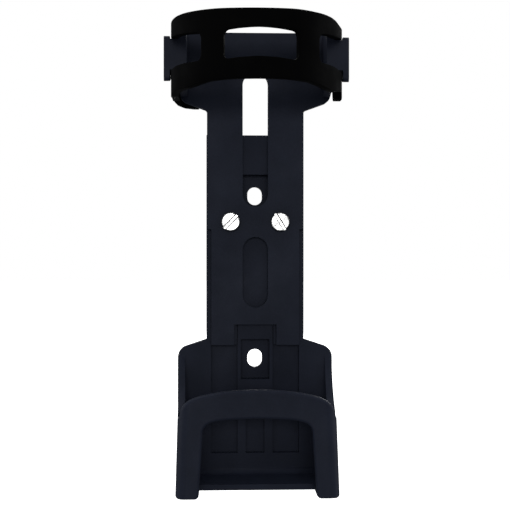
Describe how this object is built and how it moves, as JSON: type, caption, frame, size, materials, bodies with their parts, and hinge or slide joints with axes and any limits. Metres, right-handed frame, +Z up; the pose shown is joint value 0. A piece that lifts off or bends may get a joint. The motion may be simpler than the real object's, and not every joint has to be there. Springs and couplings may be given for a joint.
{
  "type": "folding lock frame bracket",
  "caption": "Telescoping bicycle frame bracket with a looped pocket at its foot and a rubber ladder strap over hooks at its head, for carrying a folded lock.",
  "frame": {"origin": "middle of the pattern of bolt slots, on the flat rear face that sits on the frame tube", "axes": "+Z up along the bracket towards the strap, +X to the right seen from the front, -Y out of the front"},
  "size_m": [0.069, 0.05, 0.1734],
  "materials": {
    "lower_plastic": "fine moulded grain",
    "upper_plastic": "fine moulded grain",
    "plated_steel": "bright zinc plate",
    "nut_steel": "dull zinc plate",
    "strap_rubber": "smooth black rubber"
  },
  "bodies": {
    "lower": {"lower_holder": "lower_plastic"},
    "upper": {"upper_holder": "upper_plastic", "clamp_nut_left": "nut_steel", "clamp_nut_right": "nut_steel", "strap_tail": "strap_rubber"},
    "screw_left": {"clamp_screw_left": "plated_steel"},
    "screw_right": {"clamp_screw_right": "plated_steel"},
    "strap": {"strap_front": "strap_rubber"}
  },
  "joints": [
    {"name": "length_adjust", "type": "slide", "parent": "lower", "child": "upper", "axis": [0, 0, -1], "range_m": [0, 0.0424]},
    {"name": "strap_swing", "type": "hinge", "parent": "upper", "child": "strap", "pos_m": [-0.0272, -0.0374, 0.0805], "axis": [0, 0, -1], "range_deg": [0, 100], "stiffness_Nm_per_rad": 0.02, "deforming": ["strap_front"]},
    {"name": "screw_left_turn", "type": "hinge", "parent": "upper", "child": "screw_left", "pos_m": [-0.00955, -0.0102, 0.0215], "axis": [0, -1, 0], "range_deg": [0, 270]},
    {"name": "screw_right_turn", "type": "hinge", "parent": "upper", "child": "screw_right", "pos_m": [0.00955, -0.0102, 0.0215], "axis": [0, -1, 0], "range_deg": [0, 270]}
  ]
}
